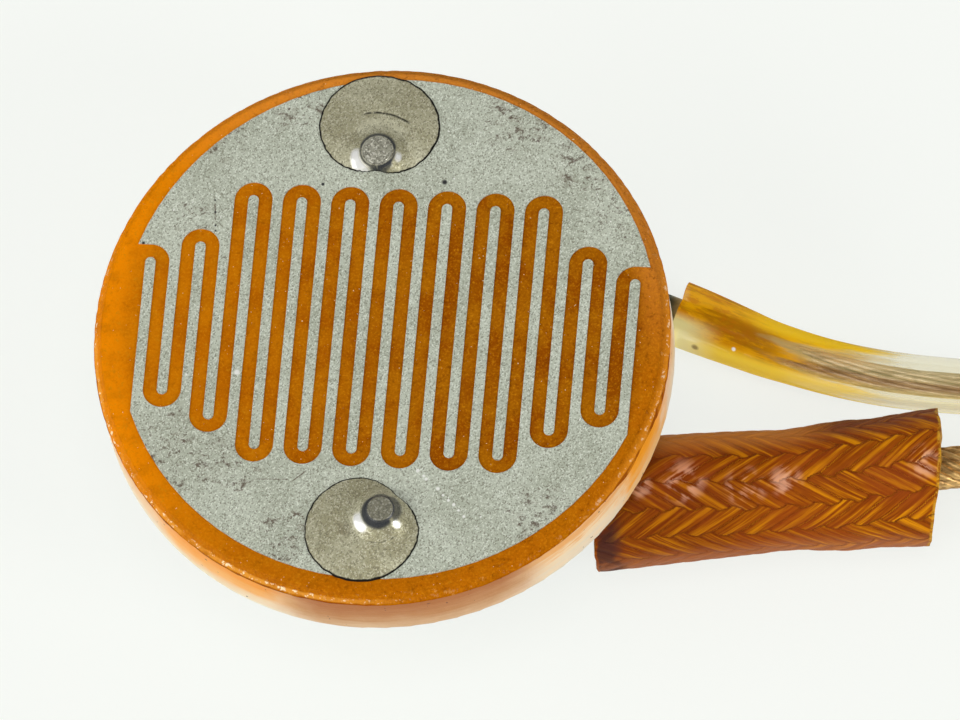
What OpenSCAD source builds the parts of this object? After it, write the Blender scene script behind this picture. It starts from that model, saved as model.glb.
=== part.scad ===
// Bare photoresistor cell: a round ceramic disc with a light-sensitive film, two printed
// comb electrodes, two soldered wires and the leads that are spliced to them.
// Z is the disc's axis and its film side looks along +Z. Y runs along the comb's fingers
// and the leads go away along +X. The origin is the disc's centre, at half its thickness.

/* [Disc] */
// Diameter of the ceramic disc
disc_d = 12; // [10:0.5:20]
// Thickness of the ceramic disc
disc_t = 1.6; // [1:0.1:3]
// Width of the bevel round the film side
front_bevel_w = 0.2; // [0.1:0.05:0.4]
// Height of the bevel round the film side
front_bevel_h = 0.25; // [0.2:0.05:0.5]
// Radius of the rounded edge on the wire side
back_edge_r = 0.15; // [0.05:0.05:0.4]

/* [Wire holes] */
// Distance from the disc's edge to the middle of the upper wire hole
upper_hole_inset = 1.9; // [1.6:0.1:2.6]
// Distance from the disc's edge to the middle of the lower wire hole
lower_hole_inset = 2; // [1.6:0.1:2.6]
// How far the line of holes is turned from the fingers, in degrees
hole_turn = 5.5; // [0:0.5:12]
// How far the pair of holes sits off the disc's centre, along Y
hole_shift = -0.14; // [-0.3:0.02:0.3]
// Gap between a wire and the wall of its hole
hole_clearance = 0.05; // [0.02:0.01:0.15]

/* [Film] */
// Thickness of the light-sensitive film
film_t = 0.05; // [0.02:0.01:0.1]
// How far the film comes down over the bevel
film_wrap = 0.17; // [0.05:0.01:0.18]

/* [Comb] */
// Thickness of the printed metal
metal_t = 0.03; // [0.01:0.01:0.08]
// Width of the film left bare between the metal and the disc's edge
rim_w = 0.4; // [0.2:0.05:1]
// Least distance from the outermost finger to the edge of the metal
side_w = 0.35; // [0.2:0.05:0.6]
// Distance from one strip of bare film to the next
strip_pitch = 0.507; // [0.4:0.005:0.7]
// Width of each strip of bare film
strip_w = 0.292; // [0.2:0.005:0.32]
// Distance from the ends of the long loops to the circle of the upper wire hole
loop_gap = 0.97; // [0.8:0.01:1.6]
// How much shorter the outer loops are, from the outermost inwards
loop_drops = [1.5, 1.12, 1.1, 0.61]; // [0:0.01:2]
// How far the print sits off the disc's centre, along X and Y
print_shift = [0.125, 0.085]; // [-0.2:0.005:0.2]

/* [Solder pads] */
// How far the upper pad reaches from its wire, every 30 degrees from +X
upper_pad_reach = [1.01, 1.43, 1.71, 1.82, 1.78, 1.51, 1.07, 0.68, 0.44, 0.345, 0.45, 0.66]; // [0.34:0.005:2]
// How far the lower pad reaches from its wire, every 30 degrees from +X
lower_pad_reach = [0.72, 0.59, 0.55, 0.7, 0.97, 1.27, 1.54, 1.69, 1.61, 1.41, 1.145, 0.92]; // [0.34:0.005:2]
// Height of a pad's edge above the film
pad_edge_h = 0.05; // [0.04:0.01:0.1]
// Height that a pad rises from its edge to its middle
pad_crown = 0.1; // [0.05:0.01:0.2]
// Radius of the hollow collar of solder round each wire
collar_r = 0.22; // [0.1:0.02:0.3]

/* [Wires] */
// Diameter of the two wires through the disc
wire_d = 0.6; // [0.4:0.05:0.8]
// Height of the upper wire's end above the film
upper_tip_h = 0.32; // [0.25:0.02:0.6]
// Height of the lower wire's end above the film
lower_tip_h = 0.46; // [0.25:0.02:0.6]
// Width of the bevel round each wire's end
tip_bevel = 0.06; // [0.02:0.01:0.12]
// Radius of each wire's bend behind the disc
bend_r = 1.2; // [0.8:0.1:1.6]
// Length of solder round each wire where its lead begins
splice_l = 1.2; // [0.6:0.1:1.4]
// Least thickness of that solder
splice_t = 0.05; // [0.03:0.01:0.08]

/* [Clear lead] */
// Thickness of the clear insulation's wall
clear_wall = 0.21; // [0.12:0.01:0.4]
// Gap between the insulation and what it goes over
clear_clearance = 0.03; // [0.02:0.01:0.1]
// Diameter of the bundle of strands in the insulation
upper_strand_d = 0.5; // [0.4:0.05:0.9]
// Length of the tinned end of the upper lead
upper_tip_l = 2.5; // [1.5:0.5:4]

/* [Braided lead] */
// Outer diameter of the braided sleeve
sleeve_d = 2.7; // [2.6:0.1:3.4]
// Outer diameter of the sleeve's spread far end
sleeve_end_d = 2.85; // [2.7:0.05:3.6]
// Length over which the sleeve spreads
sleeve_spread_l = 2; // [1:0.5:4]
// Length of the braided sleeve
sleeve_l = 7; // [6:0.5:9]
// Thickness of the sleeve's wall
sleeve_wall = 0.35; // [0.2:0.05:0.4]
// Gap between the disc's back and the sleeve
sleeve_gap = 0.25; // [0.15:0.05:1]
// Diameter of the twisted bare strands
lower_strand_d = 0.9; // [0.7:0.05:1]
// Length of the tinned end of the lower lead
lower_tip_l = 3; // [1.5:0.5:4]

/* [Hidden] */
$fn = 64;

// Levels along Z, from the surface that the leads lie on to the top of the metal.
disc_r = disc_d / 2;
back_z = -disc_t / 2;
film_z = disc_t / 2;
film_top = film_z + film_t;
metal_top = film_top + metal_t;
sleeve_z = back_z - sleeve_gap - sleeve_d / 2;
ground_z = sleeve_z - max(sleeve_d, sleeve_end_d) / 2;

// Wire holes: a pair on one line near the disc's middle.
upper_hole_r = disc_r - upper_hole_inset;
lower_hole_r = disc_r - lower_hole_inset;
hole_d = wire_d + 2 * hole_clearance;
upper_hole = [-upper_hole_r * sin(hole_turn), upper_hole_r * cos(hole_turn) + hole_shift];
lower_hole = [lower_hole_r * sin(hole_turn), -lower_hole_r * cos(hole_turn) + hole_shift];

// The comb: loops are counted from the middle one, and every second one opens the other way.
metal_r = disc_r - rim_w;
finger_w = strip_pitch - strip_w;
loop_r = (strip_pitch + strip_w) / 2;
loop_last = 2 * floor((metal_r - side_w - finger_w / 2) / (2 * strip_pitch));
comb_half_w = loop_last * strip_pitch + finger_w / 2;
long_loop_y = upper_hole_r - loop_gap;
function loop_drop(i) = let(k = loop_last - abs(i)) k < len(loop_drops) ? loop_drops[k] : 0;
function loop_y(i) = long_loop_y - loop_drop(i);

// The clear lead's middle line: place across the ground, and height above its resting height.
clear_route = [
    [5.7, 2.4, 0], [6.4, 2.141, 0], [7.2, 1.845, 0], [7.5, 1.734, 0], [8.2, 1.53, 0],
    [8.8, 1.38, 0], [9.5, 1.24, 0], [10.5, 1.1, 0], [11.7, 1.03, 0], [13.5, 1.06, 0], [15.5, 1.18, 0],
    [18, 1.42, 0], [20.5, 1.7, 0], [23, 1.95, 0], [25.5, 2.15, 0], [28, 2.3, 0],
    [30.5, 2.38, 0], [33, 2.4, 0], [35.5, 2.4, 0]
];
// The point of that line where the wire ends and the strands begin.
clear_joint = 2;
// The braided lead's middle line, from the wire's end in the sleeve to the tinned end.
braid_route = [
    [6.6, -1.92, 0.65], [7.4, -1.808, 0.65], [8.4, -1.65, 0.65], [9.6, -1.42, 0.65],
    [11.7, -1, 0.65], [12.8, -0.8, 0.56], [13.9, -0.65, 0.35], [15.2, -0.56, 0.13],
    [16.6, -0.55, 0.02], [18.2, -0.6, 0], [20.5, -0.78, 0], [23, -1.05, 0], [25.5, -1.3, 0],
    [28, -1.5, 0], [30.5, -1.63, 0], [33, -1.7, 0], [35, -1.7, 0]
];
// Where the wires change direction on their way to the leads: place across the ground, and
// height as a share of the way from the ground up to the lead.
upper_knees = [[3, 3.4, 0], [5.4, 2.511, 1]];
lower_knees = [[2.6, -3.23, 0], [5, -2.144, 1]];
// The sleeve's near end and its heading.
sleeve_at = [4.6, -2.33];
sleeve_heading = 8.1;

pad_sides = 48;
cord_sides = 8;
upper_splice_d = max(upper_strand_d, wire_d + 2 * splice_t);
lower_splice_d = max(lower_strand_d, wire_d + 2 * splice_t);
// The bore has flat sides, which clear the round splice in it.
clear_bore_d = (upper_splice_d + 2 * clear_clearance) / cos(180 / cord_sides);
clear_d = clear_bore_d + 2 * clear_wall;
function laid(route, d) = [for (p = route) [p[0], p[1], ground_z + d / 2 + p[2]]];
clear_line = laid(clear_route, clear_d);
braid_line = laid(braid_route, lower_strand_d);
strand_line = [for (k = [clear_joint:len(clear_line) - 1]) clear_line[k]];
wire_low_z = ground_z + wire_d / 2;
function knee_line(knees, lead_z) =
    [for (k = knees) [k[0], k[1], wire_low_z + k[2] * (lead_z - wire_low_z)]];

// The bend of a wire, a quarter turn from straight down to its heading.
bend_steps = 6;
function bend_line(hole, knee) =
    let (turn = atan2(knee[1] - hole[1], knee[0] - hole[0]))
    [for (k = [0:bend_steps])
        let (a = 90 * k / bend_steps, out = bend_r * (1 - cos(a)))
        [hole[0] + out * cos(turn), hole[1] + out * sin(turn), wire_low_z + bend_r * (1 - sin(a))]];

// Directions and rings of a tube swept along a line that runs mostly along +X or -Z.
across = [0, 1, 0];
function unit(v) = v / norm(v);
function heading(line, k) =
    k == 0 ? unit(line[1] - line[0])
    : k == len(line) - 1 ? unit(line[k] - line[k - 1])
    : unit(unit(line[k + 1] - line[k]) + unit(line[k] - line[k - 1]));
function ring(line, k, r) =
    let (
        ahead = heading(line, k),
        side = unit(across - (across * ahead) * ahead),
        over = cross(ahead, side)
    )
    [for (j = [0:cord_sides - 1])
        let (a = 360 * j / cord_sides) line[k] + r * (cos(a) * side + sin(a) * over)];
function rings(line, r) = [for (k = [0:len(line) - 1]) each ring(line, k, r)];
function walls(count, base, out) = [
    for (k = [0:count - 2], j = [0:cord_sides - 1])
        let (
            a = base + k * cord_sides + j,
            b = base + k * cord_sides + (j + 1) % cord_sides,
            c = b + cord_sides,
            d = a + cord_sides
        )
        out ? [a, d, c, b] : [a, b, c, d]
];

// A solid round cord along a line.
module cord(line, d) {
    last = (len(line) - 1) * cord_sides;
    polyhedron(
        rings(line, d / 2),
        concat(
            walls(len(line), 0, true),
            [[for (j = [0:cord_sides - 1]) j]],
            [[for (j = [cord_sides - 1:-1:0]) last + j]]
        )
    );
}

// A hollow round cord along a line.
module hose(line, d, bore) {
    inner = len(line) * cord_sides;
    last = inner - cord_sides;
    polyhedron(
        concat(rings(line, d / 2), rings(line, bore / 2)),
        concat(
            walls(len(line), 0, true),
            walls(len(line), inner, false),
            [for (j = [0:cord_sides - 1])
                let (n = (j + 1) % cord_sides) [j, n, inner + n, inner + j]],
            [for (j = [0:cord_sides - 1])
                let (n = (j + 1) % cord_sides)
                [last + n, last + j, inner + last + j, inner + last + n]]
        )
    );
}

// Turns what is drawn along +Z to run from one point towards another.
module along(from, to) {
    d = to - from;
    translate(from)
        rotate([0, acos(d[2] / norm(d)), atan2(d[1], d[0])])
            children();
}

// A straight round rod between two points.
module rod(from, to, d) {
    along(from, to) cylinder(h = norm(to - from), d = d);
}

// The tinned end of a cord, as a true round.
module tinned_end(line, d, length) {
    n = len(line) - 1;
    along(line[n], 2 * line[n] - line[n - 1]) cylinder(h = length, d = d);
}

// Half of the disc's section, bevelled on the film side and round on the wire side.
module disc_section() {
    polygon([
        [0, back_z + back_edge_r], [disc_r, back_z + back_edge_r], [disc_r, film_z - front_bevel_h],
        [disc_r - front_bevel_w, film_z], [0, film_z]
    ]);
    translate([0, back_z]) square([disc_r - back_edge_r, back_edge_r]);
    translate([disc_r - back_edge_r, back_z + back_edge_r]) circle(back_edge_r);
}

module ceramic_body() {
    rotate_extrude() disc_section();
}

module wire_hole(place) {
    translate([place[0], place[1], back_z - disc_t]) cylinder(h = 3 * disc_t, d = hole_d);
}

// The film's outside keeps to the bevel's slope, from the side wall up to the film's face.
module film_body() {
    low_z = film_z - film_wrap;
    face_r = disc_r - (film_top - low_z) * front_bevel_w / front_bevel_h;
    rotate_extrude() polygon([[0, low_z], [disc_r, low_z], [face_r, film_top], [0, film_top]]);
}

// One loop of bare film, from the middle line out to its round end.
module loop_outline(i) {
    reach = loop_y(i) - loop_r;
    translate([i * strip_pitch - loop_r, 0]) square([2 * loop_r, reach]);
    translate([i * strip_pitch, reach]) circle(loop_r);
}

// The finger inside a loop, from the middle line out to its round end.
module finger_outline(i) {
    reach = loop_y(i) - strip_w - finger_w / 2;
    translate([i * strip_pitch - finger_w / 2, 0]) square([finger_w, reach]);
    translate([i * strip_pitch, reach]) circle(finger_w / 2);
}

// The half of the printed disc on the +Y side of the middle line.
module half_print(half_w) {
    intersection() {
        circle(metal_r);
        translate([-half_w, 0]) square([2 * half_w, metal_r]);
    }
}

// Bare film beside the outermost loops, where the strip runs out to the rim.
module side_outlets() {
    for (side = [-1, 1])
        translate([side * (loop_last * strip_pitch + metal_r / 2) - metal_r / 2, 0])
            square([metal_r, loop_y(loop_last)]);
}

module upper_comb() {
    difference() {
        half_print(metal_r);
        for (i = [-loop_last:2:loop_last]) loop_outline(i);
        side_outlets();
    }
    mirror([0, 1]) for (i = [1 - loop_last:2:loop_last - 1]) finger_outline(i);
}

module lower_comb() {
    mirror([0, 1])
        difference() {
            half_print(comb_half_w);
            for (i = [1 - loop_last:2:loop_last - 1]) loop_outline(i);
        }
    for (i = [-loop_last:2:loop_last]) finger_outline(i);
}

// A printed layer of metal on the film, with the wire's hole.
module printed(hole) {
    difference() {
        translate([print_shift[0], print_shift[1], film_top]) linear_extrude(metal_t) children();
        wire_hole(hole);
    }
}

// A closed smooth curve through reaches that are set out evenly round a wire.
function reach_at(reaches, a) =
    let (
        n = len(reaches),
        k = floor(a * n / 360),
        t = a * n / 360 - k,
        p = [for (j = [-1:2]) reaches[(k + j + n) % n]]
    )
    p[1] + t / 2 * (p[2] - p[0] + t * (2 * p[0] - 5 * p[1] + 4 * p[2] - p[3]
        + t * (3 * (p[1] - p[2]) + p[3] - p[0])));
function pad_outline(reaches) = [for (k = [0:pad_sides - 1])
    let (a = 360 * k / pad_sides) reach_at(reaches, a) * [cos(a), sin(a)]];
function half_way(list) = (min(list) + max(list)) / 2;

// The crown of a pad, a cap of a ball over the middle of its outline.
module crown(outline) {
    middle = [half_way([for (p = outline) p[0]]), half_way([for (p = outline) p[1]])];
    far_r = max([for (p = outline) norm(p - middle)]);
    crown_r = (far_r * far_r + pad_crown * pad_crown) / (2 * pad_crown);
    translate([middle[0], middle[1], pad_edge_h + pad_crown - crown_r]) sphere(crown_r, $fn = 200);
}

// The hollow collar where the solder climbs the wire.
module collar(tip_h) {
    height = tip_h - tip_bevel;
    rotate_extrude()
        difference() {
            square([wire_d / 2 + collar_r, height]);
            translate([wire_d / 2 + collar_r, height]) circle(collar_r);
        }
}

// A pad of solder on the metal and the film: crown and collar, both kept to the pad's outline.
module solder_joint(hole, reaches, tip_h) {
    outline = pad_outline(reaches);
    difference() {
        translate([hole[0], hole[1], film_top])
            intersection() {
                linear_extrude(2 * tip_h) polygon(outline);
                union() {
                    crown(outline);
                    collar(tip_h);
                }
            }
        translate([hole[0], hole[1], film_top - disc_t]) cylinder(h = 3 * disc_t, d = wire_d);
        children();
    }
}

// A wire from its tip above the film, down through the disc, round its bend and on to its lead.
module lead_wire(hole, tip_h, knees, end) {
    line = concat(bend_line(hole, knees[0]), knees, [end]);
    bevel_z = film_top + tip_h - tip_bevel;
    translate(line[0]) cylinder(h = bevel_z - line[0][2], d = wire_d);
    translate([hole[0], hole[1], bevel_z]) cylinder(h = tip_bevel, d1 = wire_d, d2 = wire_d - 2 * tip_bevel);
    cord(line, wire_d);
}

// A sleeve of solder round the end of a wire, as thick as the strands that it joins.
module splice(before, end, d) {
    start = end + splice_l * unit(before - end);
    difference() {
        rod(start, end, d);
        rod(start + unit(before - end), end - unit(before - end), wire_d);
    }
}

upper_knee_line = knee_line(upper_knees, clear_line[0][2]);
lower_knee_line = knee_line(lower_knees, braid_line[0][2]);

module ceramic_substrate() {
    color("linen")
        difference() {
            ceramic_body();
            wire_hole(upper_hole);
            wire_hole(lower_hole);
        }
}

module photoconductive_layer() {
    color("darkorange")
        difference() {
            film_body();
            ceramic_body();
            wire_hole(upper_hole);
            wire_hole(lower_hole);
        }
}

module upper_electrode() {
    color("silver") printed(upper_hole) upper_comb();
}

module lower_electrode() {
    color("silver") printed(lower_hole) lower_comb();
}

module upper_solder_joint() {
    color("darkgray")
        solder_joint(upper_hole, upper_pad_reach, upper_tip_h) upper_electrode();
}

module lower_solder_joint() {
    color("darkgray")
        solder_joint(lower_hole, lower_pad_reach, lower_tip_h) lower_electrode();
}

module upper_lead_wire() {
    color("gray") lead_wire(upper_hole, upper_tip_h, upper_knee_line, strand_line[0]);
}

module lower_lead_wire() {
    color("gray") lead_wire(lower_hole, lower_tip_h, lower_knee_line, braid_line[0]);
}

module upper_splice() {
    color("darkkhaki") splice(upper_knee_line[1], strand_line[0], upper_splice_d);
}

module lower_splice() {
    color("darkkhaki") splice(lower_knee_line[1], braid_line[0], lower_splice_d);
}

module clear_insulation() {
    color("khaki", 0.5) hose(clear_line, clear_d, clear_bore_d);
}

module upper_strands() {
    color("rosybrown") {
        cord(strand_line, upper_strand_d);
        tinned_end(strand_line, upper_strand_d, upper_tip_l);
    }
}

// A straight tube that spreads towards its far end.
module braided_sleeve() {
    near_r = sleeve_d / 2;
    far_r = sleeve_end_d / 2;
    even_l = sleeve_l - sleeve_spread_l;
    color("chocolate")
        translate([sleeve_at[0], sleeve_at[1], sleeve_z])
            rotate([0, 90, sleeve_heading])
                rotate_extrude()
                    polygon([
                        [near_r - sleeve_wall, 0], [near_r, 0], [near_r, even_l],
                        [far_r, sleeve_l], [far_r - sleeve_wall, sleeve_l],
                        [near_r - sleeve_wall, even_l]
                    ]);
}

module lower_strands() {
    color("peru") {
        cord(braid_line, lower_strand_d);
        tinned_end(braid_line, lower_strand_d, lower_tip_l);
    }
}

ceramic_substrate();
photoconductive_layer();
upper_electrode();
lower_electrode();
upper_solder_joint();
lower_solder_joint();
upper_lead_wire();
lower_lead_wire();
upper_splice();
lower_splice();
clear_insulation();
upper_strands();
braided_sleeve();
lower_strands();
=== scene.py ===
# Photoresistor: a ceramic disc with an orange film and a printed comb, two soldered wires,
# one lead in clear insulation and one in a braided varnished sleeve.
from math import radians

import bpy
import numpy as np
from mathutils import Matrix, Vector


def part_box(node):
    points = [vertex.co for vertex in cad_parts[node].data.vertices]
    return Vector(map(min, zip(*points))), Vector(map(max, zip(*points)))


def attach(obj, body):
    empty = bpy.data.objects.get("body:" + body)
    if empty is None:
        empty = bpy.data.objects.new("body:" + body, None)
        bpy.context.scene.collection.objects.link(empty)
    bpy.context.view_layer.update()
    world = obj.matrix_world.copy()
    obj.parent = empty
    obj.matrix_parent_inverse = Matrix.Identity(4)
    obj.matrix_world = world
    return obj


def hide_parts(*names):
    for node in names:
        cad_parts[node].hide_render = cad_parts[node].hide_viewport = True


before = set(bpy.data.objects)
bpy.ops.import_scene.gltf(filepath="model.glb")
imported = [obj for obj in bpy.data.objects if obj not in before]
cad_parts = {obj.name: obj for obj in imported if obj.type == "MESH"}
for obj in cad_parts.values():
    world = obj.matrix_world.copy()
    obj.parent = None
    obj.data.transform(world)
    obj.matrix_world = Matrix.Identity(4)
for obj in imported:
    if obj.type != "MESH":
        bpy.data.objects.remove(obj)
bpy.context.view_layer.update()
mm = 0.001  # shapes are worked out in millimetres, meshes are in metres
turn = 2 * np.pi

# levels and sizes that the solids give
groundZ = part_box("braided_sleeve")[0].z / mm
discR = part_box("ceramic_substrate")[1].x / mm
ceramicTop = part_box("ceramic_substrate")[1].z / mm
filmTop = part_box("photoconductive_layer")[1].z / mm
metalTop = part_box("upper_electrode")[1].z / mm
print("frame loaded, disc radius", round(discR, 3), "mm, ground at", round(groundZ, 3), "mm")


def setSocket(socket, value):  # a colour is given as red, green and blue
    socket.default_value = (*value, 1.0) if socket.type == "RGBA" else value


# Shader maths: a Signal is one output socket, and arithmetic on it adds Math nodes.
class Signal:
    def __init__(self, shade, socket):
        self.shade = shade
        self.socket = socket

    def calc(self, operation, *values):
        return self.shade.calc(operation, self, *values)

    def __add__(self, other):
        return self.calc("ADD", other)

    def __radd__(self, other):
        return self.shade.calc("ADD", other, self)

    def __sub__(self, other):
        return self.calc("SUBTRACT", other)

    def __rsub__(self, other):
        return self.shade.calc("SUBTRACT", other, self)

    def __mul__(self, other):
        return self.calc("MULTIPLY", other)

    def __rmul__(self, other):
        return self.shade.calc("MULTIPLY", other, self)

    def __truediv__(self, other):
        return self.calc("DIVIDE", other)

    def step(self, low, high):  # smooth step, 0 at low and 1 at high
        settings = {"interpolation_type": "SMOOTHSTEP"}
        return self.shade.node("ShaderNodeMapRange", settings,
                               {"Value": self, "From Min": low, "From Max": high})


# One node tree. node() makes any node: its type, its settings, then the values or links of its sockets.
class Shade:
    def __init__(self, tree, surface=None):
        self.tree = tree
        self.surface = surface

    def node(self, kind, settings=None, inputs=None, out=0):
        made = self.tree.nodes.new(kind)
        for key, value in (settings or {}).items():
            if key == "stops":
                self.setStops(made.color_ramp, value)
            else:
                setattr(made, key, value)
        for key, value in (inputs or {}).items():
            if isinstance(value, Signal):
                self.tree.links.new(value.socket, made.inputs[key])
            else:
                setSocket(made.inputs[key], value)
        return Signal(self, made.outputs[out])

    def setStops(self, ramp, stops):
        while len(ramp.elements) < len(stops):
            ramp.elements.new(1.0)
        for element, (position, colour) in zip(ramp.elements, stops):
            element.position = position
            element.color = (*colour, 1.0)

    def calc(self, operation, *values):
        return self.node("ShaderNodeMath", {"operation": operation}, dict(enumerate(values)))

    def mix(self, first, second, factor):
        settings = {"data_type": "RGBA", "clamp_factor": True}
        return self.node("ShaderNodeMix", settings, {0: factor, 6: first, 7: second}, 2)

    def layers(self, colour, *added):  # each added layer is a colour and its share
        for paint, share in added:
            colour = self.mix(colour, paint, share)
        return colour

    def ramp(self, value, stops):
        return self.node("ShaderNodeValToRGB", {"stops": stops}, {0: value})

    def place(self):  # Object coordinates in millimetres
        coords = self.node("ShaderNodeTexCoord", out="Object")
        return self.node("ShaderNodeVectorMath", {"operation": "SCALE"}, {0: coords, "Scale": 1 / mm})

    def split(self, vector):
        parts = self.node("ShaderNodeSeparateXYZ", None, {0: vector}).socket.node
        return [Signal(self, socket) for socket in parts.outputs]

    def stretch(self, vector, scale, turned=(0, 0, 0)):
        return self.node("ShaderNodeMapping", None, {"Vector": vector, "Rotation": turned, "Scale": scale})

    def noise(self, vector, scale, detail=2.0, rough=0.5):
        return self.node("ShaderNodeTexNoise", None,
                         {"Vector": vector, "Scale": scale, "Detail": detail, "Roughness": rough})

    def cells(self, vector, scale):  # one random level per cell
        return self.node("ShaderNodeTexVoronoi", None, {"Vector": vector, "Scale": scale}, "Color") * 1.0

    def spots(self, vector, places, level=metalTop):  # 1 in the middle of each (x, y, radius), 0 at its edge
        total = None
        for x, y, radius in places:
            far = self.node("ShaderNodeVectorMath", {"operation": "DISTANCE"},
                            {0: vector, 1: (x, y, level)}, "Value")
            spot = far.step(radius, radius * 0.4)
            total = spot if total is None else total.calc("MAXIMUM", spot)
        return total

    def lines(self, vector, ends):  # 1 along each straight line (x, y, x, y, half width)
        x, y = self.split(vector)[:2]
        total = 0
        for fromX, fromY, toX, toY, width in ends:
            length = float(np.hypot(toX - fromX, toY - fromY))
            aheadX = (toX - fromX) / length
            aheadY = (toY - fromY) / length
            along = (x - fromX) * aheadX + (y - fromY) * aheadY
            off = ((y - fromY) * aheadX - (x - fromX) * aheadY).calc("ABSOLUTE")
            line = off.step(width, width * 0.3) * along.step(0, 0.06) * along.step(length, length - 0.06)
            total = line.calc("MAXIMUM", total)
        return total

    def mark(self, name, out="Fac"):
        return self.node("ShaderNodeAttribute", {"attribute_name": name}, None, out)

    def seen(self):  # 1 on rays from the camera, off a gloss or through a clear piece
        path = self.node("ShaderNodeLightPath").socket.node
        direct, glossy, clear = [Signal(self, path.outputs[name])
                                 for name in ("Is Camera Ray", "Is Glossy Ray", "Is Transmission Ray")]
        return direct.calc("MAXIMUM", glossy).calc("MAXIMUM", clear)

    def feed(self, **links):
        for key, signal in links.items():
            socket = self.surface.inputs[key.replace("_", " ")]
            self.tree.links.new(signal.socket, socket)

    def bump(self, height, depth):  # depth in millimetres for a height of 1
        normal = self.node("ShaderNodeBump", None,
                           {"Strength": 1.0, "Distance": depth * mm, "Height": height})
        self.feed(Normal=normal)


def newShade(name, fixed):
    material = bpy.data.materials.new(name)
    material.use_nodes = True
    surface = material.node_tree.nodes["Principled BSDF"]
    for key, value in fixed.items():
        setSocket(surface.inputs[key], value)
    return material, Shade(material.node_tree, surface)


# Surfaces. A grid of points is (rows, columns, 3) in millimetres.
# Quads join neighbours, columns always close round, and rows close too where wrapped.
def gridFaces(rows, columns, wrapped=False, flipped=False):
    row = np.arange(rows if wrapped else rows - 1)[:, None]
    column = np.arange(columns)[None, :]
    nextRow = (row + 1) % rows * columns
    nextColumn = (column + 1) % columns
    corners = [row * columns + column, row * columns + nextColumn, nextRow + nextColumn, nextRow + column]
    faces = np.stack(np.broadcast_arrays(*corners), -1).reshape(-1, 4)
    return faces[:, ::-1] if flipped else faces


def ringPart(rings, flipped=False):  # rows and columns both close, as on a tube with a bore
    faces = gridFaces(*rings.shape[:2], True, flipped)
    return {"points": rings.reshape(-1, 3), "faces": [faces]}


def rodPart(rings, flipped=False):  # a middle point at each end closes the first and last rings
    rows, columns = rings.shape[:2]
    points = np.concatenate([rings.reshape(-1, 3), rings[:1].mean(1), rings[-1:].mean(1)])
    near = np.arange(columns)
    after = (near + 1) % columns
    first = np.stack([np.full(columns, rows * columns), after, near], 1)
    last = np.stack([np.full(columns, rows * columns + 1), near, after], 1)
    last[:, 1:] += (rows - 1) * columns
    ends = np.concatenate([first, last])
    return {"points": points, "faces": [gridFaces(rows, columns, False, flipped),
                                        ends[:, ::-1] if flipped else ends]}


# Parts become one mesh with smooth shading, sharp only past an angle. Marks are attributes of its points.
def addPiece(name, parts, material, replaces, sharp=50.0, marks=None):
    starts = np.cumsum([0] + [len(part["points"]) for part in parts])
    points = np.concatenate([part["points"] for part in parts])
    points[:, 2] = np.maximum(points[:, 2], groundZ)
    points = points * mm
    faces = []
    for part, start in zip(parts, starts):
        for block in part["faces"]:
            faces += (block + start).tolist()
    mesh = bpy.data.meshes.new(name)
    mesh.from_pydata(points.tolist(), [], faces)
    mesh.polygons.foreach_set("use_smooth", np.ones(len(mesh.polygons), bool))
    mesh.set_sharp_from_angle(angle=radians(sharp))
    for key, values in (marks or {}).items():
        if values.ndim == 1:
            mesh.attributes.new(key, "FLOAT", "POINT").data.foreach_set("value", values.astype("f"))
        else:
            layer = mesh.attributes.new(key, "FLOAT_VECTOR", "POINT")
            layer.data.foreach_set("vector", values.astype("f").ravel())
    mesh.materials.append(material)
    piece = bpy.data.objects.new(name, mesh)
    bpy.context.scene.collection.objects.link(piece)
    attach(piece, "root")
    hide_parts(*replaces)
    print("piece", name, len(points), "points")
    return piece


def smoothStep(value, low, high):
    share = np.clip((value - low) / (high - low), 0, 1)
    return share * share * (3 - 2 * share)


def unit(vectors):
    return vectors / np.linalg.norm(vectors, axis=-1, keepdims=True)


# Cubic through given values: on each stretch the slopes at both ends are weighted chords.
def hermite(at, values, wanted):
    at = np.asarray(at, float)
    values = np.asarray(values, float).reshape(len(at), -1)
    gap = np.diff(at)[:, None]
    chord = np.diff(values, axis=0) / gap
    inner = (chord[:-1] * gap[1:] + chord[1:] * gap[:-1]) / (gap[1:] + gap[:-1])
    slope = np.concatenate([chord[:1], inner, chord[-1:]])
    k = np.clip(np.searchsorted(at, wanted, side="right") - 1, 0, len(at) - 2)
    h = gap[k]
    t = (np.asarray(wanted)[:, None] - at[k][:, None]) / h
    rise = (3 - 2 * t) * t * t
    return (values[k] * (1 - rise) + values[k + 1] * rise
            + h * t * (1 - t) * (slope[k] * (1 - t) - slope[k + 1] * t))


# Smooth line through route points, with its points an even step apart.
def smoothLine(route, step):
    route = np.asarray(route, float)
    run = np.concatenate([[0], np.cumsum(np.linalg.norm(np.diff(route, axis=0), axis=1))])
    fine = hermite(run, route, np.linspace(0, run[-1], 1200))
    length = np.concatenate([[0], np.cumsum(np.linalg.norm(np.diff(fine, axis=0), axis=1))])
    even = np.linspace(0, length[-1], int(round(length[-1] / step)) + 1)
    return np.stack([np.interp(even, length, fine[:, k]) for k in range(3)], 1)


def lineLength(line):
    return float(np.linalg.norm(np.diff(line, axis=0), axis=1).sum())


# Directions along a line that runs mostly along X or Z: ahead, to the side, and over.
def directions(line):
    ahead = unit(np.gradient(line, axis=0))
    across = np.array([0.0, 1.0, 0.0])
    side = unit(across - (ahead @ across)[:, None] * ahead)
    return ahead, side, np.cross(ahead, side)


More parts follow.
